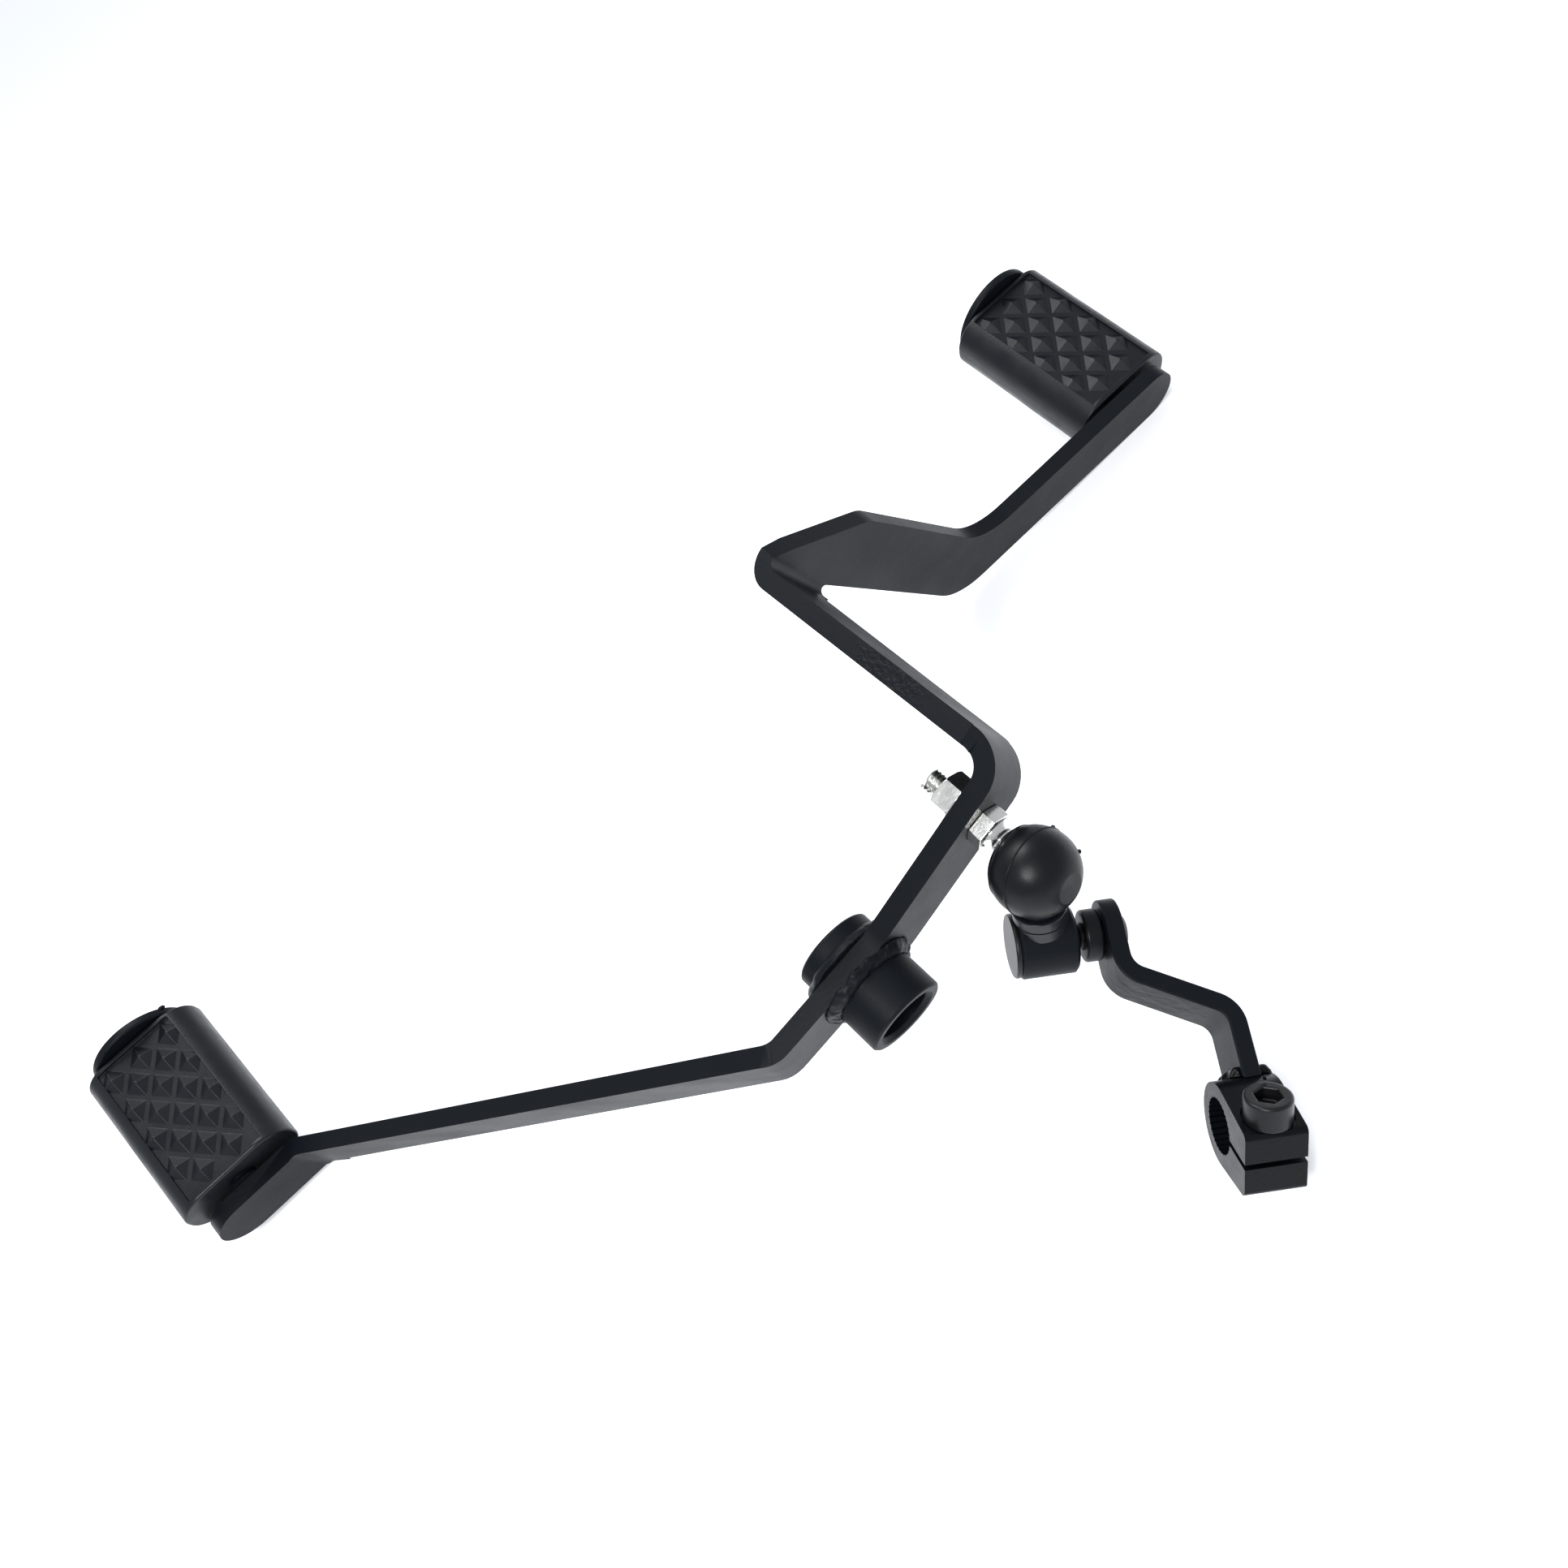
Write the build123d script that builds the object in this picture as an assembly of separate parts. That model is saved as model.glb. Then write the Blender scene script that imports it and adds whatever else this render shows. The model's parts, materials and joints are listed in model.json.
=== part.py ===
from build123d import *
from math import cos, radians, sin, sqrt, tan
import os

os.makedirs("parts", exist_ok=True)

# The lever is drawn in its own frame: the pivot tube's axis is Y, its middle is the origin,
# the toe end is at -X, the heel end at +X, and both foot pads point to +Y.
# At the end everything is turned about that origin, so that it lies as a loose part does.

# Driving dimensions of the bar, in millimetres and degrees
bar_thick = 5.0
bar_width = 20.0
bend_inside = 5.0
fold_inside = 2.5

toe_reach = 154.5
toe_offset = 101.6
toe_drop = 24.2
toe_lean = 18.4
toe_plate_slope = 25.0
toe_plate_length = 24.0
elbow_reach = 28.8
elbow_rise = 3.5

kink_reach = 10.0
kink_drop = 1.8
corner_reach = 60.9
corner_rise = 10.9

fold_reach = 55.5
fold_offset = 83.1
fold_top = -1.0
fold_bottom = -28.8
knee_x = 80.9
knee_z = -29.3
heel_corner_x = 94.0
heel_corner_z = -100.0
heel_slope = 24.4
heel_arm_width = 18.0
heel_arm_length = 76.4

# Pivot tube
tube_outer = 21.0
tube_bore = 14.2
tube_near = 15.5
tube_far = 9.0
tube_chamfer = 1.2
tube_spigot = 17.2
weld_size = 2.6
bench_gap = 0.05

# Foot pads and their pegs
peg_dia = 8.0
pad_length = 53.0
pad_width = 38.0
pad_top = 10.75
pad_bottom = 9.5
pad_side_round = 9.4
pad_gap = 1.5
end_disc_dia = 31.0
end_disc_thick = 2.5
panel_width = 25.6
panel_margin = 1.6
panel_depth = 1.3
stud_step_long = 5.8
stud_step_wide = 5.05
stud_share = 0.84
stud_high = 1.7
toe_peg_ahead = 20.4
toe_peg_rise = 14.6
toe_pad_slope = 25.0
heel_peg_back = 5.937
heel_peg_low = 1.093
heel_pad_slope = 24.4

# Ball stud in the bar
stud_x = 46.4
stud_z = 8.9
ball_out = 18.0
ball_dia = 9.0
ball_gap = 0.05
thread_dia = 6.0
hex_across = 9.0
hex_thick = 3.8
neck_dia = 4.8
shoulder_dia = 5.4
nut_across = 10.0
nut_thick = 5.0
washer_dia = 12.0
washer_thick = 1.0
thread_out = 4.5
cone_ring_wide = 8.6
cone_ring_narrow = 6.4
cone_ring_long = 2.0
side_gap = 0.3

# Link between the two ball joints
link_length = 22.0
link_azimuth = -147.8
link_elevation = -42.3
seat_wall = 1.5
seat_lip = 2.0
seat_back = 5.0
head_radius = 8.7
head_front = 4.8
head_back = 6.5
head_mouth_dia = 10.8
boot_radius = 10.2
boot_shift = 1.0
boot_front = 7.0
boot_back = 9.6
boot_mouth_dia = 12.6
link_neck_dia = 9.6
neck_ring_dia = 12.0
neck_ring_long = 2.6
housing_dia = 15.4
housing_front = 6.8
housing_back = 6.1
housing_mouth_dia = 10.0
cap_dia = 14.6
cap_thick = 1.2

# Shift arm and its stud
arm_azimuth = -40.3
arm_elevation = -25.95
arm_swing = 166.05
arm_thick = 4.0
arm_width = 15.0
arm_first = 10.5
arm_middle = 24.0
arm_middle_angle = 28.5
arm_bend_inside = 4.0
eye_to_ball = 13.0
arm_pin_dia = 6.0
collar_dia = 11.8
collar_long = 3.9
rivet_dia = 8.0
rivet_thick = 1.6

# Splined clamp
clamp_outer = 18.4
clamp_bore = 12.0
clamp_width = 13.0
clamp_ahead = 23.5
clamp_side = 3.6
clamp_turn = 45.0
jaw_reach = 14.4
jaw_high = 7.6
jaw_round = 1.5
slot_width = 1.3
serration_count = 30
serration_depth = 0.45
bolt_dia = 6.0
bolt_head_dia = 10.0
bolt_head_high = 6.0
bolt_key = 5.0
bolt_at = 9.6
bolt_seat = 7.3
hole_gap = 0.1

# The ground's upward direction, seen from the lever's own frame
ground_azimuth = 52.63
ground_elevation = 58.23


# Helpers
def direction(azimuth, elevation):
    flat = cos(radians(elevation))
    return Vector(flat * cos(radians(azimuth)), flat * sin(radians(azimuth)), sin(radians(elevation)))


def drum(radius, y_from, y_to, x=0.0, z=0.0):
    """A cylinder along Y between two places."""
    plane = Plane(origin=(x, y_from, z), x_dir=(1, 0, 0), z_dir=(0, 1, 0))
    return plane * extrude(Circle(radius), y_to - y_from)


def rounded_outline(*corners):
    """An outline whose corners are given as a place and a radius."""
    shape = Polygon(*[(x, y) for x, y, radius in corners], align=None)
    for x, y, radius in corners:
        if radius > 0:
            corner = shape.vertices().sort_by_distance((x, y, 0))[0]
            shape = fillet(corner, radius)
    return shape


def along_y(outline, y_from, y_to):
    """A prism along Y from an outline drawn in X and Z."""
    plane = Plane(origin=(0, y_to, 0), x_dir=(1, 0, 0), z_dir=(0, -1, 0))
    return plane * extrude(outline, y_to - y_from)


def turned(*profile):
    """A solid of revolution about Z from a profile given as radius and height."""
    return revolve(Plane.XZ * Polygon(*profile, align=None), Axis.Z, 360)


def turned_along_y(*profile):
    """A solid of revolution about Y from a profile given as radius and Y."""
    plane = Plane(origin=(0, 0, 0), x_dir=(1, 0, 0), z_dir=(0, 1, 0))
    return plane * turned(*profile)


def bent_strip(points, radius, thick, wide):
    """A strip that stands on edge along a path in XY, with its corners bent round."""
    path = FilletPolyline(*points, radius=radius)
    return extrude(trace(path, line_width=thick), wide)


# Main bar: one strip, cut with its edges stepped and then bent at four places
lean_x = sin(radians(toe_lean))
lean_z = cos(radians(toe_lean))
toe_bend = Vector(-toe_reach - toe_drop * tan(radians(toe_lean)), toe_offset, -toe_drop)
elbow = Vector(-elbow_reach + elbow_rise * tan(radians(toe_lean)), 0, elbow_rise)
plate_slope = radians(toe_plate_slope)
toe_end_x = toe_bend.X - toe_plate_length * cos(plate_slope)
toe_end_z = toe_bend.Z + toe_plate_length * sin(plate_slope)
heel_tilt = radians(heel_slope)
heel_end_x = heel_corner_x + heel_arm_length * cos(heel_tilt) - heel_arm_width / 2 * sin(heel_tilt)
heel_end_z = heel_corner_z - heel_arm_length * sin(heel_tilt) - heel_arm_width / 2 * cos(heel_tilt)


def toe_wall():
    """The toe side of the bar, before its edges are cut: a wall that leans with the bend lines."""
    reach = 45.0
    points = [
        (-(toe_reach + reach) * lean_z, toe_offset),
        (-toe_reach * lean_z, toe_offset),
        (-elbow_reach * lean_z, 0),
        (tube_outer / 2, 0),
    ]
    plane = Plane(origin=(0, 0, 0), x_dir=(lean_z, 0, -lean_x), z_dir=(lean_x, 0, lean_z))
    height = 260.0
    wall = bent_strip(points, bend_inside + bar_thick / 2, bar_thick, height)
    return plane * Pos(0, 0, -height / 2) * wall


def heel_wall():
    """The heel side of the bar, before its edges are cut."""
    inner = [(-tube_outer / 2, 0), (corner_reach, 0), (fold_reach, fold_offset)]
    middle = (corner_reach + fold_reach) / 2
    first = bent_strip(
        [inner[0], inner[1], (middle, fold_offset / 2)], bend_inside + bar_thick / 2, bar_thick, 260
    )
    second = bent_strip(
        [(middle, fold_offset / 2), inner[2], (heel_end_x + 20, fold_offset)],
        fold_inside + bar_thick / 2, bar_thick, 260,
    )
    return Pos(0, 0, -190) * (first + second)


def toe_plate_edges():
    """What the toe plate keeps: a strip that slopes up to a round end."""
    along_plate = (-cos(plate_slope), 0, sin(plate_slope))
    plane = Plane(origin=(toe_bend.X, toe_offset + 12, toe_bend.Z), x_dir=along_plate, z_dir=(0, -1, 0))
    overlap = 5.0
    strip = Pos((toe_plate_length - overlap) / 2, 0) * Rectangle(toe_plate_length + overlap, bar_width)
    return plane * extrude(strip + Pos(toe_plate_length, 0) * Circle(bar_width / 2), 24)


def toe_arm_edges():
    """What the toe arm keeps: a straight strip between the toe bend and the elbow."""
    along = elbow - toe_bend
    upright = Vector(lean_x, 0, lean_z)
    normal = upright.cross(along).normalized()
    plane = Plane(origin=toe_bend, x_dir=along.normalized(), z_dir=normal)
    overlap = 4.0
    strip = Pos(along.length / 2, 0) * Rectangle(along.length + 2 * overlap, bar_width)
    return plane * extrude(strip, 12, both=True)


def tube_edges():
    """What the stretch that carries the tube keeps, with its slight kink at the tube."""
    half = bar_width / 2
    rise = (corner_rise + kink_drop) / (corner_reach - kink_reach)
    beyond = 20.0
    far_x = corner_reach + beyond
    far_z = corner_rise + beyond * rise
    fall = (elbow_rise + kink_drop) / (elbow.X - kink_reach)
    near_x = elbow.X - 6
    near_z = elbow_rise - 6 * fall
    outline = rounded_outline(
        (near_x, near_z - half, 0), (kink_reach, -kink_drop - half, 12), (far_x, far_z - half, 0),
        (far_x, far_z + half, 0), (kink_reach, -kink_drop + half, 12), (near_x, near_z + half, 0),
    )
    return along_y(outline, -10, 9)


def cross_edges():
    """What the crossing stretch keeps: it falls and widens toward the fold."""
    half = bar_width / 2
    outline = Polygon(
        (6, corner_rise - half), (fold_offset + 8, fold_bottom), (fold_offset + 8, fold_top),
        (6, corner_rise + half), align=None,
    )
    start = fold_reach - bar_thick / 2 - 4
    end = corner_reach + bar_thick / 2 + 1.5
    plane = Plane(origin=(start, 0, 0), x_dir=(0, 1, 0), z_dir=(1, 0, 0))
    return plane * extrude(outline, end - start)


def heel_edges():
    """What the heel plate keeps: a knee, a steep drop, and an arm with a round end."""
    tilt = heel_tilt
    under_x = heel_corner_x - 18.3
    under_z = heel_corner_z - 12.1
    steep = (knee_z - heel_corner_z) / (knee_x - heel_corner_x)
    knee_under_x = under_x + (fold_bottom - under_z) / steep
    end_top = (heel_end_x + heel_arm_width / 2 * sin(tilt), heel_end_z + heel_arm_width / 2 * cos(tilt))
    end_low = (heel_end_x - heel_arm_width / 2 * sin(tilt), heel_end_z - heel_arm_width / 2 * cos(tilt))
    outline = rounded_outline(
        (fold_reach - 8, fold_bottom, 0), (knee_under_x, fold_bottom, 3), (under_x, under_z, 22),
        (end_low[0], end_low[1], 0), (end_top[0], end_top[1], 0), (heel_corner_x, heel_corner_z, 24),
        (knee_x, knee_z, 12), (fold_reach + 6.5, fold_top + 1.5, 2), (fold_reach - 8, fold_top, 0),
    )
    outline = outline + Pos(heel_end_x, heel_end_z) * Circle(heel_arm_width / 2)
    return along_y(outline, fold_offset - 6.5, fold_offset + 10)


def main_bar():
    keep_toe = toe_plate_edges() + toe_arm_edges() + tube_edges()
    keep_heel = tube_edges() + cross_edges() + heel_edges()
    bar = (toe_wall() & keep_toe) + (heel_wall() & keep_heel)
    bar -= drum(tube_spigot / 2 + bench_gap, -20, 20)
    bar -= drum(thread_dia / 2 + hole_gap, -20, 20, stud_x, stud_z)
    return bar


# Pivot tube: its spigot goes through the bar and carries a ring on the far side
def pivot_tube():
    end = 0.6
    step = -bar_thick / 2
    return turned_along_y(
        (tube_bore / 2, -tube_near + tube_chamfer), (tube_bore / 2 + tube_chamfer, -tube_near),
        (tube_outer / 2 - end, -tube_near), (tube_outer / 2, -tube_near + end), (tube_outer / 2, step),
        (tube_spigot / 2, step), (tube_spigot / 2, tube_far), (tube_bore / 2 + tube_chamfer, tube_far),
        (tube_bore / 2, tube_far - tube_chamfer),
    )


def tube_ring():
    end = 0.6
    inner = tube_spigot / 2 + bench_gap
    return turned_along_y(
        (inner, bar_thick / 2), (tube_outer / 2, bar_thick / 2), (tube_outer / 2, tube_far - end),
        (tube_outer / 2 - end, tube_far), (inner, tube_far),
    )


# A weld bead goes round the tube on each side of the bar
def tube_weld(side):
    """A bead round the tube, with a convex face."""
    tube = tube_outer / 2 + bench_gap
    face = bar_thick / 2 + bench_gap
    bead = turned(
        (tube, face), (tube + weld_size, face), (tube + weld_size * 0.72, face + weld_size * 0.55),
        (tube + weld_size * 0.38, face + weld_size * 0.85), (tube, face + weld_size),
    )
    plane = Plane(origin=(0, 0, 0), x_dir=(1, 0, 0), z_dir=(0, side, 0))
    return plane * bead


# Foot pads: each rubber sleeve sits on a peg that is welded to the bar and ends in a disc
def pad_plane(peg_x, peg_z, slope, offset):
    lift = radians(slope)
    foot = (peg_x, offset + bar_thick / 2, peg_z)
    return Plane(origin=foot, x_dir=(0, 1, 0), z_dir=(sin(lift), 0, cos(lift)))


def peg():
    turn = Plane(origin=(0, 0, 0), x_dir=(0, 1, 0), z_dir=(1, 0, 0))
    long = pad_gap + pad_length + side_gap
    foot = turned((0, 0), (peg_dia / 2 + 1.2, 0), (peg_dia / 2, 1.2), (peg_dia / 2, long), (0, long))
    return turn * foot


def end_disc():
    turn = Plane(origin=(pad_gap + pad_length + side_gap, 0, 0), x_dir=(0, 1, 0), z_dir=(1, 0, 0))
    disc = extrude(Circle(end_disc_dia / 2), end_disc_thick)
    return turn * chamfer(disc.edges(), 0.4)


def pad():
    """A rubber sleeve with round sides and a sunk panel of low pyramids on its top."""
    half = pad_width / 2
    section = rounded_outline(
        (-half, -pad_bottom, pad_side_round), (half, -pad_bottom, pad_side_round),
        (half, pad_top, pad_side_round), (-half, pad_top, pad_side_round),
    )
    across = Plane(origin=(pad_gap, 0, 0), x_dir=(0, 1, 0), z_dir=(1, 0, 0))
    sleeve = across * extrude(section, pad_length)
    sleeve = fillet(sleeve.faces().filter_by(Axis.X).edges(), 0.8)
    middle = Pos(pad_gap + pad_length / 2, 0, pad_top - panel_depth)
    panel = middle * Pos(0, 0, 5) * Box(pad_length - 2 * panel_margin, panel_width, 10)
    sleeve -= panel
    base = Polygon(
        (-stud_step_long, 0), (0, -stud_step_wide), (stud_step_long, 0), (0, stud_step_wide), align=None)
    field = None
    for i in range(-3, 5):
        for j in range(-2, 3):
            if (i + j) % 2 == 0:
                stud = loft([scale(base, by=stud_share), Pos(0, 0, stud_high) * scale(base, by=0.1)])
                stud = middle * Pos((i - 0.5) * stud_step_long, j * stud_step_wide, -0.05) * stud
                field = stud if field is None else field + stud
    sleeve += field & (middle * Box(pad_length - 2 * panel_margin, panel_width, 10))
    bore = Plane(origin=(0, 0, 0), x_dir=(0, 1, 0), z_dir=(1, 0, 0)) * extrude(
        Circle(peg_dia / 2 + hole_gap), pad_gap + pad_length + 5)
    return sleeve - bore


# Ball stud, with its hex against the bar, a washer and a nut behind it
ball_place = Vector(stud_x, -ball_out, stud_z)
stud_plane = Plane(origin=ball_place, x_dir=(1, 0, 0), z_dir=(0, 1, 0))
hex_face = ball_out - bar_thick / 2 - hex_thick


def ball_stud():
    """Drawn from the ball's middle, with the thread pointing up."""
    neck = neck_dia / 2
    root = sqrt((ball_dia / 2) ** 2 - neck ** 2) - 0.2
    shank_end = ball_out + bar_thick / 2 + washer_thick + nut_thick + thread_out
    thread = thread_dia / 2
    stud = turned(
        (0, 0), (neck, 0), (neck, hex_face - 4.2),
        (shoulder_dia / 2, hex_face - 3.4), (shoulder_dia / 2, hex_face + 1),
        (thread, hex_face + 1), (thread, shank_end - 0.8), (thread - 0.8, shank_end), (0, shank_end),
    )
    stud += Sphere(ball_dia / 2)
    stud += Pos(0, 0, hex_face) * extrude(RegularPolygon(hex_across / 2, 6, major_radius=False), hex_thick)
    return stud


def stud_washer():
    at = ball_out + bar_thick / 2
    ring = Circle(washer_dia / 2) - Circle(thread_dia / 2 + hole_gap)
    return Pos(0, 0, at) * extrude(ring, washer_thick)


def stud_nut():
    at = ball_out + bar_thick / 2 + washer_thick
    nut = extrude(RegularPolygon(nut_across / 2, 6, major_radius=False), nut_thick)
    corner = nut_across / 2 / cos(radians(30))
    shape = turned(
        (0, 0), (corner - 0.5, 0), (corner + 0.2, 0.6),
        (corner + 0.2, nut_thick - 0.6), (corner - 0.5, nut_thick), (0, nut_thick),
    )
    nut = (nut & shape) - extrude(Circle(thread_dia / 2 + bench_gap), nut_thick)
    return Pos(0, 0, at) * nut


def stud_cone_ring():
    """A loose ring that carries the hex's width down to the neck."""
    bore = shoulder_dia / 2 + ball_gap
    high = hex_face - side_gap
    low = high - cone_ring_long
    return turned((bore, low), (cone_ring_narrow / 2, low), (cone_ring_wide / 2, high), (bore, high))


# Link: X runs from the upper ball to the lower ball, Z is the upper socket's axis
link_way = direction(link_azimuth, link_elevation)
stud_way = Vector(0, 1, 0)
socket_way = (stud_way - link_way * stud_way.dot(link_way)).normalized()
link_plane = Plane(origin=ball_place, x_dir=link_way, z_dir=socket_way)
lower_ball = ball_place + link_way * link_length
arm_axis = direction(arm_azimuth, arm_elevation)
sideways = Vector(0, 0, 1).cross(arm_axis).normalized()
upward = arm_axis.cross(sideways)
arm_way = sideways * cos(radians(arm_swing)) + upward * sin(radians(arm_swing))
lower_plane = Plane(origin=lower_ball, x_dir=arm_way, z_dir=arm_axis)
seat_radius = ball_dia / 2 + seat_wall


def rod(radius, start, end):
    """A cylinder along the link."""
    plane = Plane(origin=(start, 0, 0), x_dir=(0, 1, 0), z_dir=(1, 0, 0))
    return plane * extrude(Circle(radius), end - start)


def slab(low, high):
    return Pos(0, 0, (low + high) / 2) * Box(60, 60, high - low)


def housing_blank(front, back, radius):
    return lower_plane * Pos(0, 0, -back) * extrude(Circle(radius), front + back)


def link_body():
    head = Pos(boot_shift, 0, 0) * Sphere(head_radius) & slab(-head_back, head_front)
    neck = rod(link_neck_dia / 2, 5, link_length - 4)
    body = link_plane * (head + neck)
    body += chamfer(housing_blank(housing_front, housing_back, housing_dia / 2).edges(), 0.7)
    for plane, mouth in ((link_plane, head_mouth_dia), (lower_plane, housing_mouth_dia)):
        socket = extrude(Circle(seat_radius + bench_gap), seat_back + seat_lip + 0.2)
        body -= plane * Pos(0, 0, -seat_back) * socket
        body -= plane * extrude(Circle(mouth / 2), 12)
    return body


def ball_seat():
    """A plastic seat that holds the ball past its middle."""
    seat = Pos(0, 0, -seat_back) * extrude(Circle(seat_radius), seat_back + seat_lip)
    return seat - Sphere(ball_dia / 2 + ball_gap)


def upper_boot():
    """A rubber boot round the upper joint, flat at its mouth."""
    shell = Pos(boot_shift, 0, 0) * Sphere(boot_radius) & slab(-boot_back, boot_front)
    shell -= Pos(boot_shift, 0, 0) * Sphere(head_radius + bench_gap)
    shell -= extrude(Circle(boot_mouth_dia / 2), 12)
    shell -= rod(link_neck_dia / 2 + bench_gap, 2, 14)
    return link_plane * shell


def neck_ring(number):
    start = boot_shift + boot_radius + 0.15 + number * (neck_ring_long + 0.15)
    ring = rod(neck_ring_dia / 2, start, start + neck_ring_long)
    ring -= rod(link_neck_dia / 2 + bench_gap, start - 1, start + 5)
    housing = housing_blank(housing_front + 1, housing_back + 3, housing_dia / 2 + bench_gap)
    return link_plane * ring - housing


def end_cap():
    cap = extrude(Circle(cap_dia / 2), cap_thick)
    cap = chamfer(cap.faces().sort_by(Axis.Z)[0].edges(), 0.3)
    return lower_plane * Pos(0, 0, -housing_back - cap_thick) * cap


# Shift arm: X runs along the arm from its eye, Z is the lower stud's axis, and -Y is up from the ground
arm_plane = lower_plane * Pos(0, 0, eye_to_ball)
bend_turn = radians(arm_middle_angle)
arm_last_z = arm_thick / 2 + arm_middle * cos(bend_turn)
arm_last_x = arm_first + arm_middle * sin(bend_turn)
clamp_x = arm_last_x + clamp_ahead
clamp_low = arm_last_z - 0.65 * clamp_width
clamp_way = Location((clamp_x, -clamp_side, clamp_low), (0, 0, -clamp_turn))


def arm_stud():
    """A ball on a pin, riveted over behind the arm's eye."""
    neck = neck_dia / 2
    pin = arm_pin_dia / 2
    step = eye_to_ball - side_gap - collar_long - 0.6
    back = eye_to_ball + arm_thick
    stud = turned(
        (0, 0), (neck, 0), (neck, step - 1), (pin, step), (pin, back), (rivet_dia / 2, back),
        (rivet_dia / 2, back + rivet_thick * 0.5),
        (rivet_dia / 2 - 0.9, back + rivet_thick), (0, back + rivet_thick),
    )
    return stud + Sphere(ball_dia / 2)


def arm_collar():
    low = eye_to_ball - side_gap - collar_long
    ring = extrude(Circle(collar_dia / 2) - Circle(arm_pin_dia / 2 + ball_gap), collar_long)
    circles = ring.edges().filter_by(GeomType.CIRCLE)
    outer = circles.filter_by(lambda edge: abs(edge.radius - collar_dia / 2) < 0.01)
    return Pos(0, 0, low) * chamfer(outer, 0.4)


def clamp_blank(extra=0.0):
    """The clamp's outline before its bore, slot and bolt hole are cut."""
    jaws = rounded_outline(
        (0, -jaw_high, 0), (jaw_reach, -jaw_high, jaw_round),
        (jaw_reach, jaw_high, jaw_round), (0, jaw_high, 0),
    )
    both = Circle(clamp_outer / 2) + jaws
    outline = make_hull(both.edges())
    if extra > 0:
        outline = offset(outline, extra)
    return extrude(outline, clamp_width)


def shift_arm():
    points = [
        (-arm_width / 2, arm_thick / 2), (arm_first, arm_thick / 2), (arm_last_x, arm_last_z),
        (clamp_x - clamp_outer / 4, arm_last_z),
    ]
    strip = bent_strip(points, arm_bend_inside + arm_thick / 2, arm_thick, arm_width)
    flat = Plane(origin=(0, arm_width / 2, 0), x_dir=(1, 0, 0), z_dir=(0, -1, 0))
    arm = flat * strip
    outline = Circle(arm_width / 2) + Pos(50, 0) * Rectangle(100, arm_width)
    arm &= Pos(0, 0, -1) * extrude(outline, 60)
    arm -= extrude(Circle(arm_pin_dia / 2 + bench_gap), arm_thick)
    return arm - clamp_way * clamp_blank(bench_gap)


def arm_weld(side):
    """A bead in the corner on one side, where the arm meets the clamp."""
    bead_x = clamp_x - clamp_outer / 2 * 0.93
    place = Pos(bead_x, -clamp_side * 0.4, arm_last_z + side * arm_thick / 2)
    bead = place * Rot(90, 0, 0) * extrude(Circle(weld_size), arm_width * 0.32, both=True)
    bead = fillet(bead.edges(), weld_size * 0.6)
    bead -= flat_arm_stretch()
    return bead - clamp_way * clamp_blank(bench_gap)


def flat_arm_stretch():
    """The arm's last stretch, a little thicker, to trim the weld against."""
    long = clamp_x - arm_last_x + 20
    return Pos(clamp_x - long / 2, 0, arm_last_z) * Box(long, arm_width + 1, arm_thick + 2 * bench_gap)


def spline_clamp():
    """The clamp with its serrated bore, its slot and the pinch bolt's hole."""
    clamp = clamp_blank()
    bore = clamp_bore / 2
    clamp -= extrude(Circle(bore), clamp_width)
    pitch = 360 / serration_count
    half = bore * sin(radians(pitch / 4))
    groove = Polygon((bore - 0.2, -half), (bore + serration_depth, 0), (bore - 0.2, half), align=None)
    grooves = None
    for number in range(serration_count):
        tooth = extrude(Rot(0, 0, (number + 0.5) * pitch) * groove, clamp_width)
        grooves = tooth if grooves is None else grooves + tooth
    clamp -= grooves
    clamp -= Pos(jaw_reach / 2 + 1, 0, clamp_width / 2) * Box(jaw_reach + 2, slot_width, clamp_width + 2)
    hole = Plane(origin=(bolt_at, 15, clamp_width / 2), x_dir=(1, 0, 0), z_dir=(0, -1, 0))
    clamp -= hole * extrude(Circle(bolt_dia / 2 + hole_gap), 30)
    spot = Plane(origin=(bolt_at, -bolt_seat, clamp_width / 2), x_dir=(1, 0, 0), z_dir=(0, -1, 0))
    return clamp - spot * extrude(Circle(bolt_head_dia / 2 + 0.4), 6)


def pinch_bolt():
    """A socket head screw through both jaws."""
    grip = bolt_seat + jaw_high
    shank = extrude(Circle(bolt_dia / 2), -grip)
    shank = chamfer(shank.edges().sort_by(Axis.Z)[0], 0.6)
    head = extrude(Circle(bolt_head_dia / 2), bolt_head_high)
    head = fillet(head.edges().sort_by(Axis.Z)[-1], 0.7)
    head -= Pos(0, 0, bolt_head_high - 3) * extrude(RegularPolygon(bolt_key / 2, 6, major_radius=False), 4)
    plane = Plane(origin=(bolt_at, -bolt_seat, clamp_width / 2), x_dir=(1, 0, 0), z_dir=(0, -1, 0))
    return plane * (head + shank)


# Every piece in the lever's own frame
toe = pad_plane(-toe_reach - toe_peg_ahead, toe_peg_rise - toe_drop, toe_pad_slope, toe_offset)
heel_peg_x = heel_end_x - heel_peg_back * cos(heel_tilt) - heel_peg_low * sin(heel_tilt)
heel_peg_z = heel_end_z + heel_peg_back * sin(heel_tilt) - heel_peg_low * cos(heel_tilt)
heel = pad_plane(heel_peg_x, heel_peg_z, heel_pad_slope, fold_offset)

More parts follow.
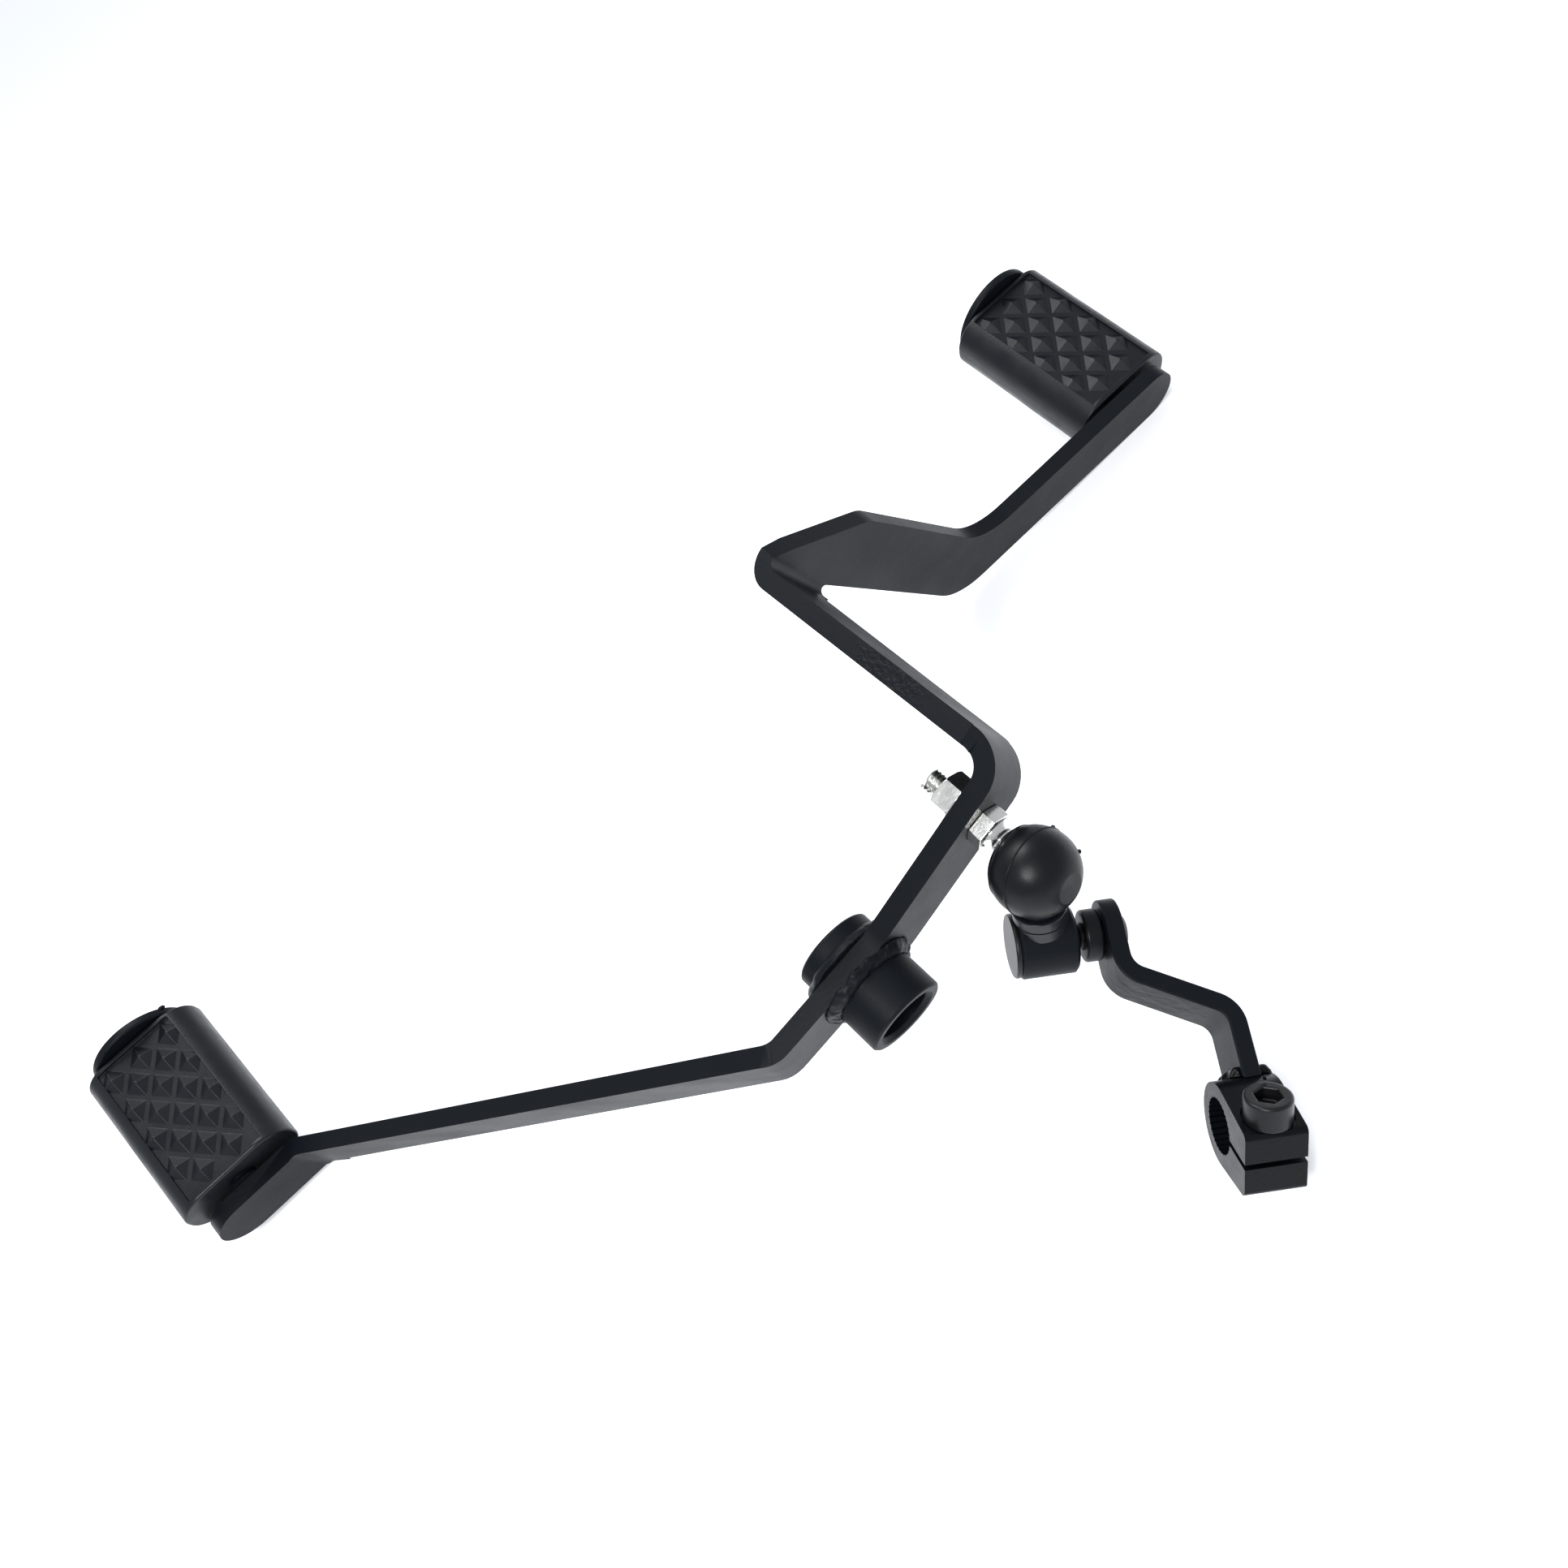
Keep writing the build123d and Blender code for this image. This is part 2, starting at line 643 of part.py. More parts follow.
pieces = {
    "main_bar": main_bar(),
    "pivot_tube": pivot_tube(),
    "tube_far_ring": tube_ring(),
    "tube_weld_near": tube_weld(-1),
    "tube_weld_far": tube_weld(1),
    "toe_peg": toe * peg(),
    "toe_end_disc": toe * end_disc(),
    "toe_pad": toe * pad(),
    "heel_peg": heel * peg(),
    "heel_end_disc": heel * end_disc(),
    "heel_pad": heel * pad(),
    "ball_stud": stud_plane * ball_stud(),
    "stud_washer": stud_plane * stud_washer(),
    "stud_nut": stud_plane * stud_nut(),
    "stud_cone_ring": stud_plane * stud_cone_ring(),
    "link_body": link_body(),
    "upper_ball_seat": link_plane * ball_seat(),
    "upper_boot": upper_boot(),
    "neck_ring_upper": neck_ring(0),
    "neck_ring_lower": neck_ring(1),
    "lower_ball_seat": lower_plane * ball_seat(),
    "lower_end_cap": end_cap(),
    "arm_stud": lower_plane * arm_stud(),
    "arm_collar": lower_plane * arm_collar(),
    "shift_arm": arm_plane * shift_arm(),
    "arm_weld_left": arm_plane * arm_weld(-1),
    "arm_weld_right": arm_plane * arm_weld(1),
    "spline_clamp": arm_plane * clamp_way * spline_clamp(),
    "pinch_bolt": arm_plane * clamp_way * pinch_bolt(),
}

# Lay everything on the ground, with the toe at -X and the heel at +X
up = direction(ground_azimuth, ground_elevation)
toe_to_heel = Vector(heel_end_x, fold_offset, heel_end_z) - Vector(toe_end_x, toe_offset, toe_end_z)
level = (toe_to_heel - up * toe_to_heel.dot(up)).normalized()
ground = Plane(origin=(0, 0, 0), x_dir=level, z_dir=up)
for name, shape in pieces.items():
    export_step(ground.to_local_coords(shape), f"parts/{name}.step")
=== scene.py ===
import json
from math import radians

import bpy
from mathutils import Matrix, Vector

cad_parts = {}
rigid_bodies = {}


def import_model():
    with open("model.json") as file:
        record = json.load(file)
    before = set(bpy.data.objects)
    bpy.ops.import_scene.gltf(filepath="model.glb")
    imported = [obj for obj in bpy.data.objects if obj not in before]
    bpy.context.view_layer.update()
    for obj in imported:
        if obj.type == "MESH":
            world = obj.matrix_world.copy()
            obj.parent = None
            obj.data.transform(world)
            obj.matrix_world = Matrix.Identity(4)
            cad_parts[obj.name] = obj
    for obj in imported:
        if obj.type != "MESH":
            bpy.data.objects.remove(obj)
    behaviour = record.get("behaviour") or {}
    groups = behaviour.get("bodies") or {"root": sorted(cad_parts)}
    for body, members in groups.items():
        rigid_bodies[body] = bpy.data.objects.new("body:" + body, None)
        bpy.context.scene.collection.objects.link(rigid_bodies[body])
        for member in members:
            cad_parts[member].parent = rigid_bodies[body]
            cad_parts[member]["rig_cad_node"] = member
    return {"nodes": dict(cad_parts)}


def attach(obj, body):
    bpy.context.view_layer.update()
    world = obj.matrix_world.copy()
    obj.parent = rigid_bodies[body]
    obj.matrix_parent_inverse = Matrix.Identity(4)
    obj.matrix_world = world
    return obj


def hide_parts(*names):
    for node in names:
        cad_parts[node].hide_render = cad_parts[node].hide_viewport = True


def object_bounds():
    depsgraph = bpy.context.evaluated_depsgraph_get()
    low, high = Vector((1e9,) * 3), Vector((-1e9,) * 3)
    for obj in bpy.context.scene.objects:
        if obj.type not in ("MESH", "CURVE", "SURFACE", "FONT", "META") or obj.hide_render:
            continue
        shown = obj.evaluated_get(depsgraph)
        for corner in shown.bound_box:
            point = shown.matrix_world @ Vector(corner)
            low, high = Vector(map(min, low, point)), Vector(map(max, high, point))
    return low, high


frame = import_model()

CAD_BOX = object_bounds()
MM = 0.001

# Directions in the solids' frame: along the lever, along the pivot tube and the ball stud,
# and up from the foot pads
ALONG = Vector((0.9422, -0.1005, 0.3196))
PIVOT_WAY = Vector((-0.0452, 0.9071, 0.4184))
PAD_UP = Vector((-0.3319, -0.4087, 0.8502))

# The upper ball joint: its middle, the way down the link, and the way out of the boot's mouth
UPPER_BALL = Vector((0.04158, -0.02463, 0.01486))
LINK_WAY = Vector((-0.3485, -0.0196, -0.9371))
MOUTH_WAY = Vector((-0.1986, 0.9786, 0.0534))

# The boot's middle lies 1 mm down the link from the ball. One mould seam runs round its widest part, the
# other round its mouth, this many millimetres ahead. A seam has steps round the boot and sides round its line
BOOT_MIDDLE = UPPER_BALL + LINK_WAY * MM
BOOT_RADIUS = 10.2 * MM
BOOT_SEAM_HEIGHT = 0.22 * MM
MOUTH_SEAM_AHEAD = 5.6
MOUTH_SEAM_RADIUS = 8.5 * MM
MOUTH_SEAM_HEIGHT = 0.2 * MM
SEAM_STEPS = 72
SEAM_SIDES = 8

# The stud's thread, M6 with a pitch of 1 mm, from the nut's outer face to the stud's end. Its root is a
# share of the stud's radius, and half of its ridge is a share of the pitch, so that the turns nearly touch
THREAD_RADIUS = 3.0 * MM
THREAD_PITCH = 1.0 * MM
NUT_FACE = 26.5 * MM
THREAD_TURNS = 4
THREAD_STEPS = 24
ROOT_SHARE = 0.83
RIDGE_SHARE = 0.48

# Past the nut's face: the two cuts between which the stud steps down to the root, and a place between them
STEP_CUTS = (0.05 * MM, 0.2 * MM)
STEP_MIDDLE = 0.1 * MM

# The bar's top edge, in millimetres in the lever's own directions: the toe arm's top, where it is taken,
# and its fall, then the same for the stretch that carries the tube, the arm's lean, and the top past the
# heel fold
ARM_TOP = 11.42
ARM_START = 9
ARM_TOP_FALL = 0.2687
TUBE_TOP = 12.66
TUBE_START = -21.68
TUBE_TOP_FALL = 0.1403
ARM_LEAN = 0.333
FOLD_TOP = -4.07

# Where the solid bar's top edge has a small step: from and to along the lever, from and to along the tube,
# and the height above which its points are moved
ELBOW_STEP = ((-34.5, -20.5), (-3, 9.5), 8)
FOLD_STEP = ((61.5, 65.5), (80, 86.5), -4)

# A levelled edge is cleaned with these: points this close are one, edges this short go, and faces that
# lie this flat to each other are one
LEVEL_MERGE = 0.06 * MM
LEVEL_SHORT = 0.02 * MM
LEVEL_FLAT = radians(0.5)

# A copied solid is cleaned and rounded with these: points this close are one, faces that lie this flat to
# each other are one, edges past BEVEL_ANGLE are rounded, and edges past CREASE keep a hard shade
MERGE = 0.002 * MM
FLAT = radians(0.3)
BEVEL_ANGLE = radians(30)
BEVEL_STEPS = 2
CREASE = radians(34)

# Hand welds: the grid that the bead is made of, and the level of the swellings that stays in place
WELD_GRID = 0.28 * MM
WELD_LEVEL = 0.42

# A leftover blob's unevenness, as shares of its radius
LUMP_SIZE = 0.9
LUMP_HEIGHT = 0.5

# Rough patches by the main bend and on the shift arm: their middle, then in millimetres their reach and the
# size and height of a pebble. A patch has its full height up to a share of its reach
PEBBLED_PATCH = ((0.0519, 0.0206, 0.0376), 15, 1.1, 0.25)
DENTED_PATCH = ((0.0413, -0.048, -0.019), 14, 3.0, 0.25)
PATCH_CORE = 0.55

# The height that a grain of strength 1 has, and the part of a cloud pattern's range that it mostly fills
GRAIN_HEIGHT = 0.3 * MM
CLOUD_LOW = 0.3
CLOUD_HIGH = 0.7

# The table's width in metres and its own glow in the camera's view, then the room's light and what is added
# to it in the camera's view
TABLE_SIZE = 6
TABLE_GLOW = 0.37
ROOM_LIGHT = 0.7
ROOM_GLOW = 0.3

# The camera's place, its turn in degrees, its lens for a picture 36 mm wide, and how near to it things
# still show
CAMERA_PLACE = (-0.0125, -0.21717, 0.26488)
CAMERA_TURN = (39.967, 26.850, -35.090)
LENS = 33.81
PICTURE_WIDTH = 36
NEAREST = 0.01


# Making and choosing

def clear_selection():
    """Lets go of everything, in object mode."""
    if bpy.context.object and bpy.context.object.mode != "OBJECT":
        bpy.ops.object.mode_set(mode="OBJECT")
    bpy.ops.object.select_all(action="DESELECT")


def choose(piece):
    """Makes this the only chosen piece."""
    clear_selection()
    piece.select_set(True)
    bpy.context.view_layer.objects.active = piece


def edit_all(piece):
    """Opens a piece in edit mode with all of it chosen."""
    choose(piece)
    bpy.ops.object.mode_set(mode="EDIT")
    bpy.ops.mesh.select_all(action="SELECT")


def close_edit():
    """Leaves edit mode."""
    bpy.ops.object.mode_set(mode="OBJECT")


def new_piece(name):
    """Names the primitive that was just added."""
    piece = bpy.context.object
    piece.name = name
    return piece


def finish_modifier(piece, kind, **settings):
    """Adds a modifier with its settings and applies it."""
    choose(piece)
    modifier = piece.modifiers.new(kind.title(), kind)
    for name, value in settings.items():
        setattr(modifier, name, value)
    bpy.ops.object.modifier_apply(modifier=modifier.name)


def on_step(place, step):
    """Whether a place in the lever's own millimetres lies on a step of the bar's top edge."""
    (start, end), (near, far), lowest = step
    x, y, z = place
    return start < x < end and near < y < far and z > lowest


def level_steps(piece):
    """Runs the bar's top edge through the elbow and the fold without the small steps of the cut solid."""
    turn = Matrix((ALONG, PIVOT_WAY, PAD_UP))
    edit_all(piece)
    bpy.ops.mesh.quads_convert_to_tris()
    close_edit()
    for point in piece.data.vertices:
        place = turn @ point.co / MM
        x, y, z = place
        if on_step(place, ELBOW_STEP):
            top = min(ARM_TOP - (y - ARM_START) * ARM_TOP_FALL, TUBE_TOP - (x - TUBE_START) * TUBE_TOP_FALL)
            drop = max(z - top, 0)
            point.co -= (PAD_UP + ALONG * ARM_LEAN) * drop * MM
        elif on_step(place, FOLD_STEP):
            point.co -= PAD_UP * (z - FOLD_TOP) * MM
    edit_all(piece)
    bpy.ops.mesh.remove_doubles(threshold=LEVEL_MERGE)
    bpy.ops.mesh.dissolve_degenerate(threshold=LEVEL_SHORT)
    bpy.ops.mesh.dissolve_limited(angle_limit=LEVEL_FLAT)
    close_edit()


def soften(node, name, width, mend=None):
    """A copy of a solid whose sharp edges are rounded as cut and coated metal or moulded rubber is."""
    source = frame["nodes"][node]
    piece = source.copy()
    piece.data = source.data.copy()
    piece.name = name
    del piece["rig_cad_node"]
    piece.parent = None
    bpy.context.scene.collection.objects.link(piece)
    edit_all(piece)
    bpy.ops.mesh.remove_doubles(threshold=MERGE)
    bpy.ops.mesh.dissolve_limited(angle_limit=FLAT)
    close_edit()
    if mend:
        mend(piece)
    if width > 0:
        finish_modifier(piece, "BEVEL", width=width * MM, segments=BEVEL_STEPS, limit_method="ANGLE",
                        angle_limit=BEVEL_ANGLE, use_clamp_overlap=True)
    choose(piece)
    bpy.ops.object.shade_smooth_by_angle(angle=CREASE)
    finish_modifier(piece, "WEIGHTED_NORMAL", keep_sharp=True)
    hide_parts(node)
    return piece


def rough_weld(node, name, lump, lump_size):
    """A weld bead with the uneven swellings of a hand weld."""
    piece = soften(node, name, 0)
    finish_modifier(piece, "REMESH", mode="VOXEL", voxel_size=WELD_GRID)
    swelling = bpy.data.textures.new(name, "CLOUDS")
    swelling.noise_scale = lump_size * MM
    swelling.noise_depth = 1
    finish_modifier(piece, "DISPLACE", texture=swelling, texture_coords="LOCAL", strength=lump * MM,
                    mid_level=WELD_LEVEL)
    choose(piece)
    bpy.ops.object.shade_smooth()
    return piece


def turn_down_thread(piece):
    """Turns the stud's end down to the root of its thread."""
    for cut in STEP_CUTS:
        edit_all(piece)
        bpy.ops.mesh.bisect(plane_co=UPPER_BALL + PIVOT_WAY * (NUT_FACE + cut), plane_no=PIVOT_WAY)
    close_edit()
    for point in piece.data.vertices:
        away = point.co - UPPER_BALL
        depth = away.dot(PIVOT_WAY)
        if depth > NUT_FACE + STEP_MIDDLE:
            point.co -= (away - PIVOT_WAY * depth) * (1 - ROOT_SHARE)


def facing(place, way):
    """The place and turn that carry +Z onto a direction."""
    return Matrix.Translation(place) @ way.to_track_quat("Z", "Y").to_matrix().to_4x4()


def thread_ridge(name):
    """The ridge of a screw thread, wound up its axis."""
    half = THREAD_PITCH * RIDGE_SHARE
    clear_selection()
    bpy.ops.mesh.primitive_circle_add(vertices=4, radius=half, location=(THREAD_RADIUS - half, 0, half),
                                      rotation=(radians(90), 0, 0))
    ridge = new_piece(name)
    bpy.ops.object.transform_apply(location=True, rotation=True)
    finish_modifier(ridge, "SCREW", screw_offset=THREAD_PITCH, iterations=THREAD_TURNS,
                    steps=THREAD_STEPS, render_steps=THREAD_STEPS)
    edit_all(ridge)
    bpy.ops.mesh.fill_holes(sides=0)
    bpy.ops.mesh.normals_make_consistent(inside=False)
    close_edit()
    ridge.data.transform(facing(UPPER_BALL + PIVOT_WAY * NUT_FACE, PIVOT_WAY))
    bpy.ops.object.shade_smooth_by_angle(angle=CREASE)
    return ridge


def mould_seam(name, ahead, radius, height):
    """A thin raised line round the boot, where the halves of its mould met."""
    clear_selection()
    bpy.ops.mesh.primitive_torus_add(major_radius=radius, minor_radius=height,
                                     major_segments=SEAM_STEPS, minor_segments=SEAM_SIDES)
    seam = new_piece(name)
    seam.data.transform(facing(BOOT_MIDDLE + MOUTH_WAY * ahead * MM, MOUTH_WAY))
    bpy.ops.object.shade_smooth()
    return seam


def leftover(name, place, radius, stretch):
    """A small blob left by moulding, cutting or coating."""
    clear_selection()
    bpy.ops.mesh.primitive_ico_sphere_add(subdivisions=3, radius=radius)
    blob = new_piece(name)
    lumps = bpy.data.textures.new(name, "CLOUDS")
    lumps.noise_scale = radius * LUMP_SIZE
    finish_modifier(blob, "DISPLACE", texture=lumps, strength=radius * LUMP_HEIGHT, mid_level=0.5)
    blob.data.transform(Matrix.Translation(place) @ Matrix.Diagonal((*stretch, 1.0)))
    bpy.ops.object.shade_smooth()
    return blob


def coat(piece, material):
    """Gives the piece its finish."""
    piece.data.materials.clear()
    piece.data.materials.append(material)


def wear(piece, material, body):
    """Gives the piece its finish and lets it ride on its body."""
    coat(piece, material)
    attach(piece, body)
    return piece


# Finishes

def linear(code):
    """A colour written as an sRGB hex code, as linear values."""
    parts = [int(code[i:i + 2], 16) / 255 for i in (1, 3, 5)]
    return [p / 12.92 if p <= 0.04045 else ((p + 0.055) / 1.055) ** 2.4 for p in parts] + [1.0]


def add(tree, kind, links=None, **settings):
    """Adds a node with its settings and inputs, and links other nodes' sockets to its inputs."""
    node = tree.nodes.new(kind)
    for name, value in settings.items():
        if hasattr(node, name):
            setattr(node, name, value)
        else:
            node.inputs[name.replace("_", " ")].default_value = value
    for target, (source, socket) in (links or {}).items():
        tree.links.new(source.outputs[socket], node.inputs[target])
    return node


def finish(name, colour, metallic=0.0, roughness=0.5, specular=0.5, grain=0.0, grain_size=1.0,
           mottle=0.0, mottle_size=12.0, patch=None):
    """A finish with a fine grain in its surface and a slow change in its gloss, and on some pieces a patch of
    coarse pebbles or dents. Sizes are in millimetres."""
    material = bpy.data.materials.new(name)
    material.use_nodes = True
    tree = material.node_tree
    shader = tree.nodes["Principled BSDF"]
    shader.inputs["Base Color"].default_value = linear(colour)
    shader.inputs["Metallic"].default_value = metallic
    shader.inputs["Roughness"].default_value = roughness
    shader.inputs["Specular IOR Level"].default_value = specular
    place = add(tree, "ShaderNodeTexCoord")
    if grain > 0:
        speck = add(tree, "ShaderNodeTexNoise", {"Vector": (place, "Object")}, Scale=1000 / grain_size,
                    Detail=3.0, Roughness=0.55)
        bump = add(tree, "ShaderNodeBump", {"Height": (speck, "Fac")}, Strength=grain, Distance=GRAIN_HEIGHT)
        tree.links.new(bump.outputs["Normal"], shader.inputs["Normal"])
    if patch:
        middle, reach, pebble_size, height = patch
        away = add(tree, "ShaderNodeVectorMath", {0: (place, "Object")}, operation="DISTANCE")
        away.inputs[1].default_value = middle
        near = add(tree, "ShaderNodeMapRange", {"Value": (away, "Value")}, From_Min=reach * PATCH_CORE * MM,
                   From_Max=reach * MM, To_Min=1.0, To_Max=0.0)
        pebble = add(tree, "ShaderNodeTexNoise", {"Vector": (place, "Object")}, Scale=1000 / pebble_size,
                     Detail=1.0)
        rise = add(tree, "ShaderNodeMath", {0: (near, "Result"), 1: (pebble, "Fac")}, operation="MULTIPLY")
        dent = add(tree, "ShaderNodeBump", {"Height": (rise, 0), "Normal": (bump, "Normal")}, Strength=1.0,
                   Distance=height * MM)
        tree.links.new(dent.outputs["Normal"], shader.inputs["Normal"])
    if mottle > 0:
        cloud = add(tree, "ShaderNodeTexNoise", {"Vector": (place, "Object")}, Scale=1000 / mottle_size,
                    Detail=5.0, Roughness=0.6)
        spread = add(tree, "ShaderNodeMapRange", {"Value": (cloud, "Fac")}, From_Min=CLOUD_LOW,
                     From_Max=CLOUD_HIGH, To_Min=roughness - mottle, To_Max=roughness + mottle)
        tree.links.new(spread.outputs["Result"], shader.inputs["Roughness"])
    return material


# Powder coat on steel, sprayed and baked: satin black, with a slight orange peel that blurs the lamps
COAT = dict(colour="#0b0f14", specular=0.11, grain=0.12, grain_size=1.1, mottle=0.05, mottle_size=25)
powder_coat = finish("satin_powder_coat", roughness=0.44, **COAT)
# The same coat over a patch that the cutting flame left coarse: small pebbles break up its sheen
pebbled_coat = finish("pebbled_powder_coat", roughness=0.44, patch=PEBBLED_PATCH, **COAT)
# The same coat, a little glossier, over steel with shallow dents from the bending: its sheen is uneven
dented_coat = finish("dented_powder_coat", roughness=0.42, patch=DENTED_PATCH, **COAT)
# A thin black coat on the cast clamp: glossier, so that the cast surface shows through as fine ripples
thin_coat = finish("thin_black_coat", "#07090c", roughness=0.3, specular=0.12, grain=0.15, grain_size=0.9,
                   mottle=0.08, mottle_size=8)
# Nitrile rubber, moulded: matt, with a soft sheen on its edges. Its grain is finer than a tenth of a
# millimetre, and is drawn at half a millimetre so that it shows
rubber = finish("moulded_rubber", "#0d1116", roughness=0.38, specular=0.26, grain=0.15, grain_size=0.5,
                mottle=0.1, mottle_size=9)
# Softer rubber, moulded thin: darker, with slow waves in its sheen
boot_rubber = finish("boot_rubber", "#07090c", roughness=0.38, specular=0.2, grain=0.2, grain_size=2.5,
                     mottle=0.07, mottle_size=6)
# Steel with bright zinc plate: near white, with dark reflections of the bar. The plate's grain is too fine
# to show, and is drawn coarser
zinc = finish("bright_zinc_plate", "#dcdcd8", metallic=1.0, roughness=0.17, grain=0.1, grain_size=0.6,
              mottle=0.06, mottle_size=4)
# Black nylon, moulded, on the clips round the link's neck: smoother than the boot, with a clear sheen
clip_nylon = finish("black_nylon", "#171b20", roughness=0.3, specular=0.4)
# Steel, blackened in an oxide bath: dark, with a dull metal sheen. Its grain is too fine to show, and is
# drawn coarser
oxide = finish("black_oxide_steel", "#1c1c1e", metallic=0.6, roughness=0.36, grain=0.08, grain_size=0.4)
# Acetal, moulded, on the seats inside the housings: off-white and smooth
acetal = finish("moulded_acetal", "#d9d6cc", roughness=0.5)


# Pieces that keep the solid's form and get soft edges, with the width of their rounding in millimetres
for node, name, width, material, body in (
    ("main_bar", "lever_bar", 0.35, pebbled_coat, "lever"),
    ("pivot_tube", "pivot_tube_coated", 0.25, powder_coat, "lever"),
    ("tube_far_ring", "tube_far_ring_coated", 0.2, powder_coat, "lever"),
    ("toe_end_disc", "toe_end_disc_coated", 0.35, powder_coat, "lever"),
    ("heel_end_disc", "heel_end_disc_coated", 0.35, powder_coat, "lever"),
    ("toe_pad", "toe_pad_rubber", 0.25, rubber, "lever"),
    ("heel_pad", "heel_pad_rubber", 0.25, rubber, "lever"),
    ("stud_nut", "stud_nut_plated", 0.2, zinc, "lever"),
    ("stud_washer", "stud_washer_plated", 0.15, zinc, "lever"),
    ("ball_stud", "ball_stud_plated", 0.25, zinc, "lever"),
    ("stud_cone_ring", "stud_cone_ring_plated", 0.15, zinc, "swivel_ring"),
    ("link_body", "link_body_coated", 0.7, powder_coat, "link"),
    ("upper_boot", "upper_boot_rubber", 0.5, boot_rubber, "link"),
    ("neck_ring_upper", "neck_ring_upper_clip", 0.35, clip_nylon, "link"),
    ("neck_ring_lower", "neck_ring_lower_clip", 0.35, clip_nylon, "link"),
    ("lower_end_cap", "lower_end_cap_oxide", 0.25, oxide, "link"),
    ("arm_collar", "arm_collar_rubber", 0.3, boot_rubber, "lower_collar"),
    ("arm_stud", "arm_stud_oxide", 0.2, oxide, "arm"),
    ("shift_arm", "shift_arm_coated", 0.45, dented_coat, "arm"),
    ("spline_clamp", "spline_clamp_coated", 0.4, thin_coat, "arm"),
    ("pinch_bolt", "pinch_bolt_oxide", 0.45, oxide, "arm"),
):
    mend = level_steps if node == "main_bar" else None
    piece = wear(soften(node, name, width, mend), material, body)
    if node == "ball_stud":
        turn_down_thread(piece)

# Weld beads, with the height and size of their swellings in millimetres
for node, name, lump, lump_size, material, body in (
    ("tube_weld_near", "tube_bead_near", 1.5, 3.2, powder_coat, "lever"),
    ("tube_weld_far", "tube_bead_far", 0.6, 3.2, powder_coat, "lever"),
    ("arm_weld_left", "arm_bead_left", 2.0, 2.8, thin_coat, "arm"),
    ("arm_weld_right", "arm_bead_right", 2.0, 2.8, thin_coat, "arm"),
):
    wear(rough_weld(node, name, lump, lump_size), material, body)

# Hidden pieces, which stay as the solids are
for node, material in (
    ("toe_peg", powder_coat),
    ("heel_peg", powder_coat),
    ("upper_ball_seat", acetal),
    ("lower_ball_seat", acetal),
):
    solid = frame["nodes"][node]
    coat(solid, material)
    choose(solid)
    bpy.ops.object.shade_smooth_by_angle(angle=CREASE)

# Small pieces that the solids leave out
wear(thread_ridge("stud_thread"), zinc, "lever")
wear(mould_seam("boot_seam", 0, BOOT_RADIUS, BOOT_SEAM_HEIGHT), boot_rubber, "link")
wear(mould_seam("boot_mouth_seam", MOUTH_SEAM_AHEAD, MOUTH_SEAM_RADIUS, MOUTH_SEAM_HEIGHT), boot_rubber,
     "link")

# Leftovers of making, with their place, radius in millimetres and stretch: sprue marks on the boot, burr on
# the toe disc, and a bead of coat by the pinch screw
for name, place, radius, stretch, material, body in (
    ("boot_nub_1", (0.05036, -0.02248, 0.01792), 0.55, (1.0, 1.0, 1.0), boot_rubber, "link"),
    ("boot_nub_2", (0.05067, -0.02848, 0.01341), 0.55, (1.0, 1.0, 1.0), boot_rubber, "link"),
    ("disc_burr", (-0.1555, 0.1650, 0.0105), 0.8, (1.6, 0.8, 0.9), powder_coat, "lever"),
    ("coat_bead", (0.0440, -0.0781, -0.0176), 0.45, (1.0, 1.0, 1.5), thin_coat, "arm"),
):
    wear(leftover(name, place, radius * MM, stretch), material, body)


